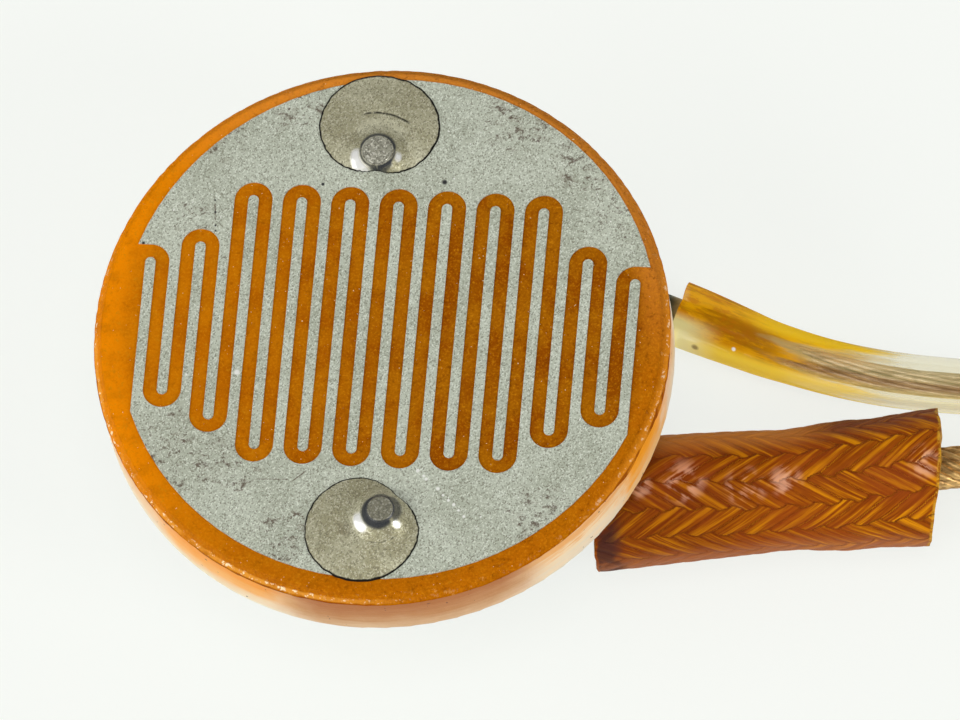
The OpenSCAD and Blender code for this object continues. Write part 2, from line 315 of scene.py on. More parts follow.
# Round profile carried along a line: point = line + radius * (cos a * side + sin a * over).
def sweep(line, radius, columns):
    angle = np.arange(columns) * turn / columns
    side, over = directions(line)[1:]
    radius = np.broadcast_to(np.asarray(radius, float).reshape(len(line) if np.ndim(radius) else 1, -1),
                             (len(line), columns))
    spoke = np.cos(angle)[None, :, None] * side[:, None] + np.sin(angle)[None, :, None] * over[:, None]
    return line[:, None] + radius[..., None] * spoke


# Twisted strands: each follows line + reach * (cos p * side + sin p * over), p = phase + turn * run / lay.
def strandLines(line, layers, lay):
    run = np.linspace(0, lineLength(line), len(line))
    side, over = directions(line)[1:]
    made = []
    for count, reach in layers:
        for k in range(count):
            phase = turn * (k / count + run / lay)[:, None]
            made.append(line + reach * (np.cos(phase) * side + np.sin(phase) * over))
    return made


# Uneven surface: a sum of waves with seeded headings, whole waves round so that it closes.
def ripple(angle, along, seed, roundMost, alongMost, waves=20):
    random = np.random.default_rng(seed)
    total = 0
    for _ in range(waves):
        rounds = random.integers(1, roundMost + 1)
        rate = random.uniform(-alongMost, alongMost)
        total = total + np.sin(rounds * angle + rate * along + random.uniform(0, turn))
    return total / np.sqrt(waves / 2)


# Camera: fitted to the photograph, image taken as 960 x 720.
cameraLook = {
    "place": (36.5033, -117.3322, 286.3343),  # mm
    "right": (0.9927658, 0.0849738, -0.0848261),
    "down": (0.0462391, -0.9225798, -0.3830255),
    "forward": (-0.1108060, 0.3763324, -0.9198348),
    "lens": 562.5,
    "sensor": 36.0,
}
lens = bpy.data.cameras.new("camera")
lens.sensor_width = cameraLook["sensor"]
lens.lens = cameraLook["lens"]
lens.clip_start = 0.01
camera = bpy.data.objects.new("camera", lens)
axes = [Vector(cameraLook["right"]), -Vector(cameraLook["down"]), -Vector(cameraLook["forward"])]
turned = Matrix(axes).transposed().to_4x4()
camera.matrix_world = Matrix.Translation(Vector(cameraLook["place"]) * mm) @ turned
bpy.context.scene.collection.objects.link(camera)
bpy.context.scene.camera = camera
bpy.context.scene.view_settings.view_transform = "Standard"

# Studio: soft lamps, a world that is white round the horizon and grey overhead, a pale floor.
lamps = {
    "leftLamp": {"place": (-234, -141, 190), "size": (380, 170), "power": 0.68},
    "rightLamp": {"place": (260, -110, 150), "size": (100, 100), "power": 0.38},
    "topLamp": {"place": (20, -60, 380), "size": (170, 170), "power": 0.36},
}
for lampName, look in lamps.items():
    lamp = bpy.data.lights.new(lampName, "AREA")
    lamp.shape = "RECTANGLE"
    lamp.size = look["size"][0] * mm
    lamp.size_y = look["size"][1] * mm
    lamp.energy = look["power"]
    stand = bpy.data.objects.new(lampName, lamp)
    stand.location = Vector(look["place"]) * mm
    stand.rotation_euler = (-stand.location).to_track_quat("-Z", "Y").to_euler()
    bpy.context.scene.collection.objects.link(stand)

# What the camera, metal and glass see of the world is white; what lights the object is softer.
worldLook = {"seenHorizon": 0.9, "seenOverhead": 0.04, "litHorizon": 0.42, "litOverhead": 0.3,
             "whiteBelow": 0.06, "darkAbove": 0.26}
world = bpy.data.worlds.new("studio")
world.use_nodes = True
bpy.context.scene.world = world
sky = Shade(world.node_tree)
height = sky.split(sky.node("ShaderNodeTexCoord", out="Generated"))[2]
up = height.step(worldLook["whiteBelow"], worldLook["darkAbove"])
seenLevel = worldLook["seenHorizon"] + (worldLook["seenOverhead"] - worldLook["seenHorizon"]) * up
litLevel = worldLook["litHorizon"] + (worldLook["litOverhead"] - worldLook["litHorizon"]) * up
level = litLevel + (seenLevel - litLevel) * sky.seen()
world.node_tree.links.new(level.socket, world.node_tree.nodes["Background"].inputs["Color"])

# The floor shows nearly white, with part of the shadow on its paper kept.
floorLook = {"half": 900, "paper": (0.80, 0.82, 0.79), "rough": 0.9, "white": (0.962, 0.985, 0.945),
             "keepsShadow": 0.2}
floorMaterial, floorShade = newShade(
    "paleFloor", {"Base Color": floorLook["paper"], "Roughness": floorLook["rough"]})
glow = floorShade.node("ShaderNodeEmission", None, {"Color": floorLook["white"], "Strength": 1.0})
shown = floorShade.seen() * (1 - floorLook["keepsShadow"])
paper = Signal(floorShade, floorShade.surface.outputs[0])
sheet = floorShade.node("ShaderNodeMixShader", None, {0: shown, 1: paper, 2: glow})
floorOutput = floorMaterial.node_tree.nodes["Material Output"]
floorMaterial.node_tree.links.new(sheet.socket, floorOutput.inputs["Surface"])
half = floorLook["half"] * mm
floorCorners = [(x * half, y * half, groundZ * mm) for x, y in ((-1, -1), (1, -1), (1, 1), (-1, 1))]
floorMesh = bpy.data.meshes.new("floor")
floorMesh.from_pydata(floorCorners, [], [(0, 1, 2, 3)])
floorMesh.materials.append(floorMaterial)
floor = bpy.data.objects.new("floor", floorMesh)
bpy.context.scene.collection.objects.link(floor)
print("camera, lamps, world and floor set")

# Lead routes: place across the ground and height above the resting height, in millimetres.
leads = {
    "upperHole": (-0.393, 3.941),
    "lowerHole": (0.3834, -4.1216),
    "wireD": 0.6,
    "bendR": 1.2,
    "wireStep": 0.2,  # between points of a wire's line
    "step": 0.12,  # between points of a lead's line
    "upperTip": 0.32,
    "lowerTip": 0.46,
    "clearD": 1.2426,
    "clearBoreD": 0.8226,
    "lowerStrandD": 0.9,
    "clearJoint": 2,
    "upperKnees": [(3, 3.4, 0), (5.4, 2.511, 1)],
    "lowerKnees": [(2.6, -3.23, 0), (5, -2.144, 1)],
    "clearRoute": [
        (5.7, 2.4, 0), (6.4, 2.141, 0), (7.2, 1.845, 0), (7.5, 1.734, 0), (8.2, 1.53, 0), (8.8, 1.38, 0),
        (9.5, 1.24, 0), (10.5, 1.1, 0), (11.7, 1.03, 0), (13.5, 1.06, 0), (15.5, 1.18, 0), (18, 1.42, 0),
        (20.5, 1.7, 0), (23, 1.95, 0), (25.5, 2.15, 0), (28, 2.3, 0), (30.5, 2.38, 0), (33, 2.4, 0),
        (35.5, 2.4, 0),
    ],
    "braidRoute": [
        (6.6, -1.92, 0.65), (7.4, -1.808, 0.65), (8.4, -1.65, 0.65), (9.6, -1.42, 0.65), (11.7, -1, 0.65),
        (12.8, -0.8, 0.56), (13.9, -0.65, 0.35), (15.2, -0.56, 0.13), (16.6, -0.55, 0.02), (18.2, -0.6, 0),
        (20.5, -0.78, 0), (23, -1.05, 0), (25.5, -1.3, 0), (28, -1.5, 0), (30.5, -1.63, 0), (33, -1.7, 0),
        (35, -1.7, 0),
    ],
    "upperTipL": 2.5,
    "lowerTipL": 3.0,
}


def laid(route, diameter):
    lift = np.array([0, 0, groundZ + diameter / 2])
    return np.asarray(route, float) + lift


def grounded(line, diameter):  # no lower than it can lie
    return np.column_stack([line[:, :2], np.maximum(line[:, 2], groundZ + diameter / 2)])


def lengthened(line, length):  # straight on from the last point
    return np.vstack([line, line[-1] + length * np.array([1.0, 0, 0])])


clearRoute = laid(leads["clearRoute"], leads["clearD"])
upperRoute = lengthened(clearRoute[leads["clearJoint"]:], leads["upperTipL"])
lowerRoute = lengthened(laid(leads["braidRoute"], leads["lowerStrandD"]), leads["lowerTipL"])
clearLine = grounded(smoothLine(clearRoute, leads["step"]), leads["clearD"])
upperStrandLine = smoothLine(upperRoute, leads["step"])
lowerStrandLine = grounded(smoothLine(lowerRoute, leads["step"]), leads["lowerStrandD"])


# A wire's middle line: straight down through the disc, a quarter turn, then knee to knee to the lead.
def wireLine(hole, tip, knees, end):
    lowZ = groundZ + leads["wireD"] / 2
    bendR = leads["bendR"]
    heading = unit(np.array(knees[0][:2], float) - hole)
    quarter = np.linspace(0, np.pi / 2, 16)
    out = bendR * (1 - np.cos(quarter))
    bend = np.column_stack([hole[0] + out * heading[0], hole[1] + out * heading[1],
                            lowZ + bendR * (1 - np.sin(quarter))])
    drop = np.linspace(filmTop + tip, bend[0, 2], 40)[:-1]
    shaft = np.column_stack([np.full_like(drop, hole[0]), np.full_like(drop, hole[1]), drop])
    stops = [(x, y, lowZ + share * (end[2] - lowZ)) for x, y, share in knees]
    run = np.vstack([bend[-1], stops, end])
    pull = smoothLine(run, leads["wireStep"])[1:]
    return grounded(np.vstack([shaft, bend, pull]), leads["wireD"])


upperWire = wireLine(leads["upperHole"], leads["upperTip"], leads["upperKnees"], upperStrandLine[0])
lowerWire = wireLine(leads["lowerHole"], leads["lowerTip"], leads["lowerKnees"], lowerStrandLine[0])
for leadName, leadLine in (("clear lead", clearLine), ("upper strands", upperStrandLine),
                           ("lower strands", lowerStrandLine)):
    print(leadName, round(lineLength(leadLine), 2), "mm")


# Film: orange, mottled from amber to red-brown, glossy and chipped on the edge.
# Painted light in the colour: partly brighter toward the left rim, with glints and a glare haze on the edge.
def filmMaterial():
    fixed = {"Roughness": 0.4, "Specular IOR Level": 0.0, "Coat Roughness": 0.13}
    material, shade = newShade("orangeFilm", fixed)
    place = shade.place()
    x, y, z = shade.split(place)
    reach = (x * x + y * y).calc("SQRT")
    rim = reach.step(5.2, 5.7)
    left = (x * -1).step(-2.5, 6.0)
    right = (x * 0.98 - y * 0.17).step(4.9, 5.8)
    facing = (x * -0.75 - y * 0.66).step(2.5, 5.0)  # the lower left, toward the light
    edge = z.step(filmTop - 0.005, filmTop - 0.05)
    outer = z.step(filmTop - 0.11, filmTop - 0.15) * z.step(filmTop - 0.225, filmTop - 0.19)
    mottle = shade.noise(place, 9.0, 4.0, 0.7)
    cloud = shade.noise(place, 1.1, 4.0, 0.65)
    patch = shade.noise(place, 2.6, 3.0, 0.6)
    fine = shade.noise(place, 20.0, 2.0, 0.6)
    speck = shade.noise(place, 22.0, 1.0, 0.4).step(0.775, 0.79)
    dent = shade.noise(place, 4.5, 4.0, 0.65)
    glint = shade.noise(place, 8.0, 4.0, 0.7).step(0.56, 0.62) * outer
    seam = z.step(filmTop - 0.21, filmTop - 0.24) * shade.noise(place, 2.0, 3.0, 0.6).step(0.40, 0.56)
    # Brighter orange toward the left rim: partly the film's own tint, partly painted light from the left
    # lamp.
    leftTintAndLight = left * (0.44 + 0.48 * reach.step(5.0, 5.8)) * (y * -1).step(6.3, 2.6)
    amber = shade.mix((0.275, 0.066, 0.001), (0.37, 0.118, 0.002), cloud.step(0.38, 0.60))
    colour = shade.layers(
        amber,
        ((0.50, 0.14, 0.002), rim * 0.8),
        ((0.86, 0.25, 0.001), leftTintAndLight),
        (amber, patch.step(0.44, 0.68) * 0.28),
        ((0.74, 0.29, 0.055), rim * (y * 0.94 + x * 0.34).step(1.0, 5.0) * 0.45),  # painted glare haze at the back
        ((0.17, 0.04, 0.001), mottle.step(0.52, 0.72) * (0.70 - 0.48 * left)),
        ((0.56, 0.21, 0.006), mottle.step(0.45, 0.30) * 0.6),
        ((0.16, 0.035, 0.001), fine.step(0.52, 0.68) * (0.20 - 0.12 * left)),
        ((0.72, 0.27, 0.008), fine.step(0.47, 0.34) * 0.3),
        ((0.9, 0.72, 0.45), speck * 0.7),
        ((0.03, 0.02, 0.01), shade.spots(place, [(2.23, -0.13, 0.06), (-0.99, -1.71, 0.05)])),
        ((0.90, 0.33, 0.025), right * z.step(filmTop - 0.04, filmTop - 0.2) * 0.5),
        # Painted light: a brighter band on the outer bevel where it faces the left lamp.
        ((0.92, 0.40, 0.05), outer * facing * cloud.step(0.36, 0.56) * 0.6),
        # Painted highlight: pale glints along the bevel, strongest facing the lamp, partly pale chips at the
        # right.
        ((1.0, 0.80, 0.50), glint * (0.10 + 0.85 * facing + 0.5 * right)),
        ((0.88, 0.42, 0.10), dent.step(0.63, 0.68) * edge * 0.35),  # chips
        ((0.22, 0.025, 0.003), seam * (0.15 + 0.65 * facing + 0.6 * right)),
    )
    shade.feed(Base_Color=colour, Roughness=0.30 + 0.22 * mottle, Coat_Weight=0.10 * edge * facing)
    shade.bump(mottle * 0.12 + dent * edge, 0.05)
    return material


# Ceramic: peach, orange where the film has bled down the wall, dark in front by painted shade, cream low down
# and at right.
# Each stretch of wall has its heading, where it fades in, and its colours from the foot of the wall up.
wallLook = {
    "left": {"heading": 240, "fades": (5.6, 5.95),
             "colours": [(0.96, 0.82, 0.60), (1.0, 0.50, 0.15), (0.98, 0.37, 0.05)]},
    # Painted shade: the front stretch is darkened where the wall lies in shade.
    "front": {"heading": 281, "fades": (5.1, 5.75),
              "colours": [(0.76, 0.50, 0.29), (0.56, 0.26, 0.10), (0.47, 0.17, 0.05)]},
    "corner": {"heading": 321, "fades": (5.7, 5.95),
               "colours": [(0.88, 0.74, 0.55), (0.98, 0.74, 0.46), (0.90, 0.44, 0.14)]},
    "right": {"heading": 340, "fades": (5.84, 5.97),
              "colours": [(0.94, 0.60, 0.28), (1.0, 0.43, 0.06), (1.0, 0.38, 0.02)]},
    # Far stretch: paler ceramic, partly painted light that makes up for the little lamp light reaching it.
    "far": {"heading": 24, "fades": (5.6, 5.95),
            "colours": [(1.0, 0.93, 0.80), (1.0, 0.87, 0.68), (1.0, 0.82, 0.60)]},
}


def ceramicMaterial():
    material, shade = newShade("ceramic", {"Roughness": 0.42, "Specular IOR Level": 0.06})
    place = shade.place()
    x, y, z = shade.split(place)
    cloud = shade.noise(place, 1.4, 3.0, 0.55)
    streak = shade.noise(shade.stretch(place, (0.6, 0.6, 7.0)), 1.0, 4.0, 0.7)
    corner = (x * 0.84 - y * 0.54).step(5.1, 5.9)
    height = (z + 2.2 * (streak - 0.5) * (0.35 + 0.65 * corner) + 0.5 * (cloud - 0.5) + 0.8) / 1.6

    def upTheWall(colours):
        return shade.ramp(height, list(zip((0.08, 0.46, 0.74), colours)))

    wall = upTheWall([(0.94, 0.80, 0.62), (0.94, 0.66, 0.40), (0.94, 0.56, 0.27)])
    for look in wallLook.values():
        heading = radians(look["heading"])
        along = x * np.cos(heading) + y * np.sin(heading) + 0.3 * (cloud - 0.5)
        wall = shade.mix(wall, upTheWall(look["colours"]), along.step(*look["fades"]))
    back = z.step(-0.7, -0.79)
    pits = shade.noise(place, 8.0, 1.0, 0.4).step(0.755, 0.775)
    colour = shade.layers(wall, ((0.84, 0.77, 0.66), back), ((0.12, 0.05, 0.03), pits * 0.85))
    shade.feed(Base_Color=colour, Roughness=0.34 + 0.2 * cloud)
    shade.bump(shade.noise(place, 14.0, 3.0, 0.6), 0.01)
    return material


# Printed metal: grey-green silver with a fine sponge grain, brown scuffs where it is worn.
# Spots are (x, y, radius), scratches (x, y, x, y, half width).
metalLook = {
    "scuffs": [(-4.1, 2.35, 0.6), (-3.75, 4.2, 0.75), (-2.15, 4.9, 0.8), (2.5, 4.85, 1.0), (3.9, 3.95, 0.9),
               (4.8, 2.9, 0.8), (-3.9, -2.9, 1.25), (-2.75, -3.2, 0.8), (-1.5, -4.6, 1.0), (3.6, -3.9, 0.9)],
    "dots": [(1.04, 3.41, 0.075), (-1.5, 3.24, 0.05), (2.53, -2.98, 0.05), (-3.72, 2.77, 0.03),
             (-3.69, 2.5, 0.036), (-3.66, 2.2, 0.032), (-3.65, 2.08, 0.03), (-5.13, 1.73, 0.045)],
    "flakes": [(-2.91, -1.07, 0.08), (1.04, -3.07, 0.055), (1.17, -3.18, 0.04), (1.23, -3.25, 0.05),
               (1.49, -3.45, 0.055), (1.61, -3.59, 0.04), (1.73, -3.7, 0.045), (1.85, -3.79, 0.05),
               (1.96, -3.91, 0.04), (2.08, -4.04, 0.045)],
    "scratches": [(-1.55, -3.45, -1.25, -3.17, 0.022), (-2.33, -3.43, -1.6, -3.4, 0.014),
                  (-3.72, 2.72, -3.67, 2.3, 0.02), (-4.03, 2.39, -3.87, 2.5, 0.03),
                  (-3.46, 1.48, -3.35, 1.51, 0.025), (3.55, 3.93, 3.92, 4.15, 0.035),
                  (3.93, 3.63, 4.09, 3.68, 0.03), (4.16, 3.39, 4.34, 3.43, 0.03)],
}


def printedMetalMaterial():
    material, shade = newShade("printedMetal", {"Roughness": 0.5, "Metallic": 0.2})
    place = shade.place()
    grain = shade.cells(place, 38.0)
    cloud = shade.noise(place, 0.8, 3.0, 0.55)
    worn = shade.spots(place, metalLook["scuffs"])
    scuff = shade.noise(shade.stretch(place, (2.6, 4.2, 1.0), (0, 0, radians(-30))), 1.0, 6.0, 0.8)
    crackle = shade.noise(place, 10.0, 4.0, 0.7)
    tear = (crackle + 1.1 * (scuff - 0.5) - 0.10 * (1 - worn)).step(0.575, 0.655) * worn.step(0, 0.5)
    scratch = shade.lines(place, metalLook["scratches"]) * crackle.step(0.36, 0.48)
    dust = shade.noise(place, 15.0, 1.0, 0.4).step(0.765, 0.785)
    colour = shade.layers(
        shade.mix((0.47, 0.50, 0.395), (0.55, 0.585, 0.475), cloud.step(0.38, 0.62)),
        ((0.16, 0.15, 0.10), grain.step(0.60, 0.85) * 0.64),
        ((0.86, 0.90, 0.78), grain.step(0.38, 0.14) * 0.60),
        ((0.24, 0.20, 0.14), scuff.step(0.50, 0.62) * worn * 0.35),  # stain round the scuffs
        ((0.075, 0.036, 0.018), tear.calc("MAXIMUM", crackle.step(0.70, 0.74) * 0.8) * 0.74),
        ((0.10, 0.06, 0.035), scratch * 0.8),
        ((0.03, 0.03, 0.03), shade.spots(place, metalLook["dots"])),
        ((0.93, 0.93, 0.88), dust.calc("MAXIMUM", shade.spots(place, metalLook["flakes"])) * 0.85),
    )
    shade.feed(Base_Color=colour, Roughness=0.42 + 0.2 * grain)
    shade.bump(grain, 0.004)
    return material


# Solder: khaki grey with a crystal sparkle, smooth close to the wire; its gleams, dark reflections, light and
# shade and black edge line are painted.
def solderMaterial():
    material, shade = newShade("solder", {"Roughness": 0.4, "Specular IOR Level": 0.1})
    place = shade.place()
    names = ("shore", "crack", "tone", "polish", "soot", "face")
    shore, crack, tone, polish, soot, face = [shade.mark(name) for name in names]
    grain = shade.cells(place, 36.0)
    cloud = shade.noise(place, 1.5, 3.0, 0.6)
    uneven = shade.noise(place, 9.0, 2.0, 0.6)
    smooth = polish.calc("MAXIMUM", soot)
    # Black line round the pad's edge: painted shade at the step; it also follows the crack.
    line = (shore + 0.05 * (uneven - 0.5)).step(0.082, 0.055).calc("MAXIMUM", crack * uneven.step(0.34, 0.5))
    collar = shade.mix((0.46, 0.45, 0.36), (0.14, 0.13, 0.10), grain.step(0.58, 0.8))
    colour = shade.layers(
        shade.mix((0.40, 0.375, 0.235), (0.51, 0.49, 0.335), cloud.step(0.38, 0.62)),
        # Painted light and shade: lighter and darker zones on the pad.
        ((0.66, 0.64, 0.46), tone * 0.7),
        ((0.17, 0.14, 0.085), tone * -0.7),
        ((0.15, 0.135, 0.085), grain.step(0.58, 0.84) * 0.55),
        ((0.84, 0.82, 0.64), grain.step(0.38, 0.14) * 0.5),
        # Painted highlight: near white where the pad gleams, over smoother, partly metallic solder.
        ((0.95, 0.95, 0.93), polish * 0.9),
        (collar, face),
        # Painted dark reflection and shade round the wire.
        ((0.020, 0.024, 0.034), soot * 0.95),
        ((0.010, 0.009, 0.007), line),
    )
    rough = (0.40 + 0.2 * grain) * (1 - smooth) + 0.16 * smooth + 0.15 * soot
    shade.feed(Base_Color=colour, Roughness=rough, Metallic=0.4 * (1 - line) * (1 - smooth) + 0.25 * polish)
    shade.bump(grain * (1 - smooth.step(0.0, 0.25)), 0.006)
    return material


# Tinned wire: grainy where it is cut, a painted dark reflection just below that, dull green-black below the
# disc, fluxed where its lead begins.
def wireMaterial():
    material, shade = newShade("tinnedWire", {"Metallic": 1.0, "Roughness": 0.25})
    place = shade.place()
    x, y, z = shade.split(place)
    grain = shade.cells(place, 30.0)
    below = z.step(-0.4, -1.2)
    joined = x.step(5.5, 5.9)
    belowMottle = shade.noise(place, 2.2, 3.0, 0.6)
    upper = y.step(-1, 1)
    drop = filmTop + leads["lowerTip"] + (leads["upperTip"] - leads["lowerTip"]) * upper - z
    flat = z.step(filmTop + 0.27, filmTop + 0.29)
    dull = shade.mix((0.13, 0.135, 0.09), (0.06, 0.07, 0.04), belowMottle.step(0.35, 0.65))
    colour = shade.layers(
        shade.mix((0.26, 0.25, 0.18), (0.42, 0.41, 0.32), upper),
        ((0.10, 0.095, 0.07), grain.step(0.58, 0.80) * 0.55),
        ((0.90, 0.88, 0.75), grain.step(0.40, 0.16) * (0.3 + 0.5 * upper)),
        # Painted dark reflection on the wire's side just below its cut face.
        ((0.03, 0.034, 0.045), drop.step(0.002, 0.012) * 0.85),
        (shade.mix(dull, (0.60, 0.38, 0.08), joined), below),
    )
    shade.feed(Base_Color=colour, Roughness=0.25 + 0.25 * grain + 0.15 * below,
               Metallic=(1 - 0.4 * below) * (1 - joined) * (1 - 0.6 * flat))
    shade.bump(grain * flat, 0.012)
    return material


# Flux: pale solder under resin where wire and strands meet.
def fluxMaterial():
    material, shade = newShade("fluxedSolder", {"Roughness": 0.5, "Metallic": 0.0})
    place = shade.place()
    x = shade.split(place)[0]
    cloud = shade.noise(place, 4.0, 3.0, 0.6)
    amber = shade.mix((0.62, 0.36, 0.05), (0.36, 0.17, 0.02), cloud.step(0.45, 0.7))
    colour = shade.mix(amber, (0.72, 0.52, 0.28), x.step(6.6, 7.3))
    shade.feed(Base_Color=colour, Roughness=0.35 + 0.3 * cloud)
    shade.bump(cloud, 0.03)
    return material


# Clear lead: sizes in millimetres, and two flaws in its wall as (x, y, radius): a bubble with a painted white
# glint, and a dark speck.
clearLook = {
    "swell": 0.11, "swellRun": 1.9, "drawnIn": 0.4, "uneven": 0.006, "inset": 0.14, "skew": -0.16,
    "columns": 48,
    "bubbleGlint": (6.98, 1.45, 0.06), "bubbleGlintZ": -2.75, "speck": (6.15, 1.58, 0.11), "speckZ": -3.0,
}


# Clear insulation: see-through plastic, amber with flux near the joint and straw further on, with painted
# light and shade.
# Marks: skin is 1 outside and 0 in the bore, flow is the run along the lead with side and top from -1 to 1.
def clearMaterial():
    fixed = {"Roughness": 0.16, "Specular IOR Level": 0.0, "Coat Roughness": 0.12, "Emission Strength": 1.0}
    material, shade = newShade("clearInsulation", fixed)
    place = shade.place()
    flow = shade.mark("flow", "Vector")
    run, side = shade.split(flow)[:2]
    skin = shade.mark("skin")
    streak = shade.noise(shade.stretch(flow, (0.55, 2.6, 2.6)), 1.0, 4.0, 0.65)
    fleck = shade.noise(shade.stretch(flow, (2.2, 3.5, 3.5)), 1.0, 4.0, 0.7)
    high = side.step(0.0, 0.55)
    low = side.step(-0.60, -0.90)
    flux = (run + 3.0 * (streak - 0.5) - 1.7 * high.calc("MAXIMUM", low)).step(3.5, 2.1)
    middle = side.step(-0.75, -0.35) * side.step(0.55, 0.1) * run.step(0.3, 0.9) * run.step(2.9, 2.0)
    # Painted shade: a brown band along the tube where the strands' lower side lies in shade.
    paintedStrandShade = side.step(-0.70, -0.58) * side.step(-0.26, -0.42) * run.step(1.6, 3.0)
    bubbleGlints = shade.spots(place, [clearLook["bubbleGlint"]], clearLook["bubbleGlintZ"])
    specks = shade.spots(place, [clearLook["speck"]], clearLook["speckZ"])
    amber = shade.layers(
        (0.88, 0.42, 0.002),
        ((0.40, 0.15, 0.002), streak.step(0.45, 0.60) * 0.8),
        ((0.36, 0.13, 0.003), middle * (0.3 + 0.5 * fleck.step(0.40, 0.60))),
        ((0.62, 0.19, 0.003), fleck.step(0.48, 0.60) * run.step(2.4, 0.8) * 0.6),
        ((0.98, 0.64, 0.01), high * run.step(0.9, 2.4) * 0.8),
        ((0.98, 0.70, 0.04), low),
        ((0.98, 0.90, 0.42), side.step(-0.2, -0.6) * run.step(1.3, 0.3)),
    )
    colour = shade.layers(
        (0.98, 0.88, 0.36),
        # Yellow along the lower edge: the plastic's tint, partly painted light coming through it.
        ((0.99, 0.84, 0.22), low),
        ((0.34, 0.20, 0.07), paintedStrandShade),
        (amber, flux),
        ((0.16, 0.11, 0.03), specks * 0.8),
        # Painted highlight: the bubble's white glint.
        ((0.98, 0.97, 0.92), bubbleGlints),
    )
    bare = 0.18 + 0.06 * high + 0.16 * low + 0.22 * paintedStrandShade
    cover = (flux * (0.88 - 0.10 * low) + (1 - flux) * bare).calc("MAXIMUM", bubbleGlints)
    # Painted light: a glow in the plastic's own colour where light comes through it, strongest on the lower
    # edge.
    paintedThroughGlow = skin * (0.07 * flux + 0.06 * high * flux + 0.26 * low)
    shade.feed(Base_Color=colour, Alpha=cover * (0.18 + 0.82 * skin), Coat_Weight=0.04 * skin,
               Emission_Color=shade.mix((0, 0, 0), colour, paintedThroughGlow))
    shade.bump(streak, 0.01)
    return material


# Strands: drawn metal with lengthwise shade, tinned or bare copper.
def strandMaterial(name, pale, dark):
    material, shade = newShade(name, {"Metallic": 0.5, "Roughness": 0.4})
    place = shade.place()
    streak = shade.noise(shade.stretch(place, (0.8, 9.0, 9.0)), 1.0, 3.0, 0.6)
    spot = shade.noise(place, 3.0, 2.0, 0.5)
    colour = shade.layers(pale, (dark, streak.step(0.38, 0.66)), (dark, spot.step(0.55, 0.7) * 0.5))
    shade.feed(Base_Color=colour, Roughness=0.28 + 0.25 * streak)
    return material


# Varnished braid: sizes in millimetres, the gloss patches, which carry painted highlights, as (x, y, radius).
sleeveLook = {
    "at": (4.6, -2.33, -2.4), "heading": 8.1, "length": 7.0, "wall": 0.35,
    "yarns": 21, "pitch": 0.58, "over": 3, "yarn": 0.028, "rise": 0.015, "soft": 0.036, "uneven": 0.012,
    "widthAt": [0, 1.3, 2.1, 3.1, 3.9, 4.6, 5.1, 5.6, 6.1, 6.9, 7.2],
    "width": [2.76, 2.66, 2.62, 2.56, 2.50, 2.62, 2.68, 2.66, 2.74, 2.86, 2.88],
    "gloss": [(6.33, -2.21, 0.6), (7.63, -2.28, 0.55), (8.45, -2.1, 0.45), (11.32, -1.55, 0.45),
              (5.44, -2.39, 0.35)],
    "glossZ": -1.1, "columns": 320, "rows": 236,
    "endInset": 0.03, "endFall": 0.25, "endTilt": 0.2, "startOut": 0.16, "startTilt": 0.08,
}


# Amber yarns with golden filaments along them, red-brown in the valleys, gloss in patches, with painted
# highlights, sheen and shade.
def braidMaterial():
    fixed = {"Roughness": 0.5, "Coat Roughness": 0.32, "Specular IOR Level": 0.05}
    material, shade = newShade("varnishedBraid", fixed)
    yarn = shade.mark("yarn", "Vector")
    crest = shade.mark("crest")
    cut = shade.mark("cut")
    upper = shade.mark("side").step(0.25, 0.75)
    place = shade.place()
    x, _, z = shade.split(place)
    filament = shade.noise(shade.stretch(yarn, (1.6, 0.5, 1.0)), 1.0, 3.0, 0.6)
    middle = shade.split(yarn)[0].calc("ABSOLUTE").step(1.0, 0.2)
    cloud = shade.noise(place, 0.75, 2.0, 0.5)
    char = shade.noise(place, 1.6, 3.0, 0.6)
    ends = shade.noise(place, 8.0, 3.0, 0.7)
    patchy = (shade.noise(place, 2.6, 2.0, 0.5) + 0.8 * (filament - 0.5)).step(0.42, 0.66)
    glossAndHighlight = shade.spots(place, sleeveLook["gloss"], sleeveLook["glossZ"]) * patchy
    golden = filament.step(0.44, 0.62) * middle * crest.step(0.35, 0.8)
    body = [(0.1, (0.13, 0.018, 0.001)), (0.6, (0.20, 0.033, 0.001)), (1.0, (0.29, 0.062, 0.001))]
    fibres = shade.mix((0.68, 0.37, 0.03), (0.27, 0.08, 0.005), ends.step(0.45, 0.62))
    colour = shade.layers(
        shade.ramp(crest, body),
        ((0.17, 0.028, 0.001), x.step(8.6, 6.4) * 0.5),
        ((0.70, 0.26, 0.002), golden * (0.55 + 0.35 * x.step(7.0, 9.5))),
        ((0.15, 0.022, 0.001), filament.step(0.47, 0.34) * 0.6),
        ((0.29, 0.05, 0.005), cloud.step(0.46, 0.66) * 0.45),
        ((0.74, 0.28, 0.055), upper * x.step(9.8, 8.2) * 0.7),  # painted sheen along the upper side
        # Painted shade along the upper side toward the right end.
        ((0.17, 0.045, 0.022), upper * x.step(8.6, 9.6) * 0.6),
        ((0.46, 0.16, 0.06), z.step(-1.9, -2.6) * 0.75),  # lighter at the foot
        # Painted highlight: pink in the gloss patches, over a real coat.
        ((0.85, 0.44, 0.27), glossAndHighlight * 0.55),
        (fibres, cut.step(0.4, 1.0) * 0.7),
        ((0.06, 0.022, 0.018), cut.step(0.0, -0.9) * char.step(0.30, 0.55) * 0.85),
    )
    shade.feed(Base_Color=colour, Roughness=0.42 + 0.25 * filament, Coat_Weight=0.01 + 0.4 * glossAndHighlight)
    shade.bump(filament * crest.step(0.35, 0.8), 0.03)
    return material


